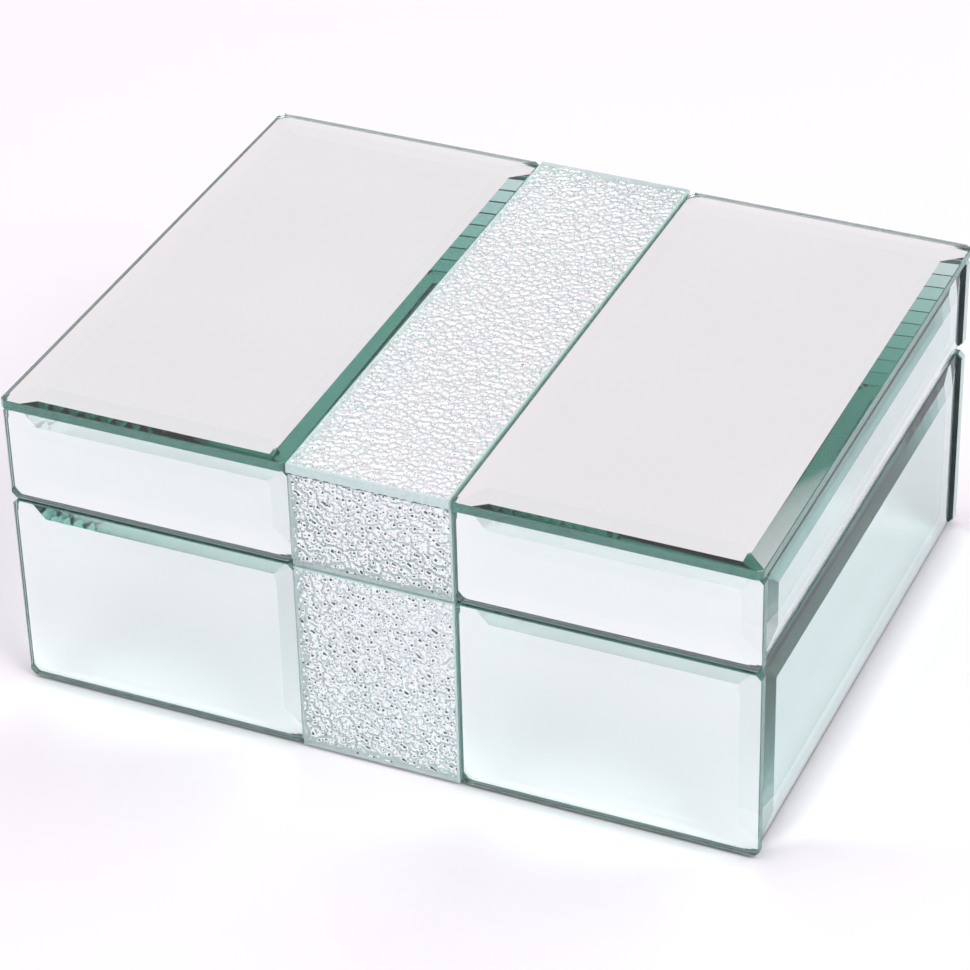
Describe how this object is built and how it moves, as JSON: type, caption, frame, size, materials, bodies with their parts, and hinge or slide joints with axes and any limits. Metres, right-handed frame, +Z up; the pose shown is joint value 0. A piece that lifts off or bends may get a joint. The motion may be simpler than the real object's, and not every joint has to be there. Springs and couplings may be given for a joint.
{
  "type": "trinket box",
  "caption": "Rectangular mirrored glass trinket box with bevelled plates, a pebbled glass band over the lid and front, a velvet lined interior and a lid hinged at the back.",
  "frame": {"origin": "centre of the box's footprint, hinge barrels included, on the surface that it stands on", "axes": "+X right, along the longest side; +Y to the back, where the hinges are; +Z up"},
  "size_m": [0.25, 0.2034, 0.1091],
  "materials": {
    "mirror_plate": "polished bevelled silvered glass with green edges",
    "textured_mirror": "pebbled silvered glass, smooth outside",
    "carcass_board": "fibreboard painted satin black",
    "velvet": "black short pile velvet",
    "felt": "black felt",
    "hinge_metal": "nickel plated steel",
    "clear_bumper": "clear soft polyurethane"
  },
  "bodies": {
    "base": {"base_felt": "felt", "base_bottom_board": "carcass_board", "base_front_board": "carcass_board", "base_back_board": "carcass_board", "base_left_board": "carcass_board", "base_right_board": "carcass_board", "base_front_plate_left": "mirror_plate", "base_front_plate_right": "mirror_plate", "base_left_plate": "mirror_plate", "base_right_plate": "mirror_plate", "base_back_plate": "mirror_plate", "base_front_strip": "textured_mirror", "base_lining_front": "velvet", "base_lining_back": "velvet", "base_lining_left": "velvet", "base_lining_right": "velvet", "base_floor_pad": "velvet", "bumper_left": "clear_bumper", "bumper_right": "clear_bumper", "hinge_left_base_leaf": "hinge_metal", "hinge_left_pin": "hinge_metal", "hinge_right_base_leaf": "hinge_metal", "hinge_right_pin": "hinge_metal", "hinge_left_base_screw_1": "hinge_metal", "hinge_left_base_screw_2": "hinge_metal", "hinge_right_base_screw_1": "hinge_metal", "hinge_right_base_screw_2": "hinge_metal"},
    "lid": {"lid_top_board": "carcass_board", "lid_front_rail": "carcass_board", "lid_back_rail": "carcass_board", "lid_left_rail": "carcass_board", "lid_right_rail": "carcass_board", "lid_front_plate_left": "mirror_plate", "lid_front_plate_right": "mirror_plate", "lid_left_plate": "mirror_plate", "lid_right_plate": "mirror_plate", "lid_back_plate": "mirror_plate", "lid_top_plate_left": "mirror_plate", "lid_top_plate_right": "mirror_plate", "lid_front_strip": "textured_mirror", "lid_top_strip": "textured_mirror", "lid_lining_front": "velvet", "lid_lining_back": "velvet", "lid_lining_left": "velvet", "lid_lining_right": "velvet", "lid_pad": "velvet", "hinge_left_lid_leaf": "hinge_metal", "hinge_right_lid_leaf": "hinge_metal", "hinge_left_lid_screw_1": "hinge_metal", "hinge_left_lid_screw_2": "hinge_metal", "hinge_right_lid_screw_1": "hinge_metal", "hinge_right_lid_screw_2": "hinge_metal"}
  },
  "joints": [
    {"name": "lid_hinge", "type": "hinge", "parent": "base", "child": "lid", "pos_m": [0, 0.0992, 0.0697], "axis": [-1, 0, 0], "range_deg": [0, 95]}
  ]
}
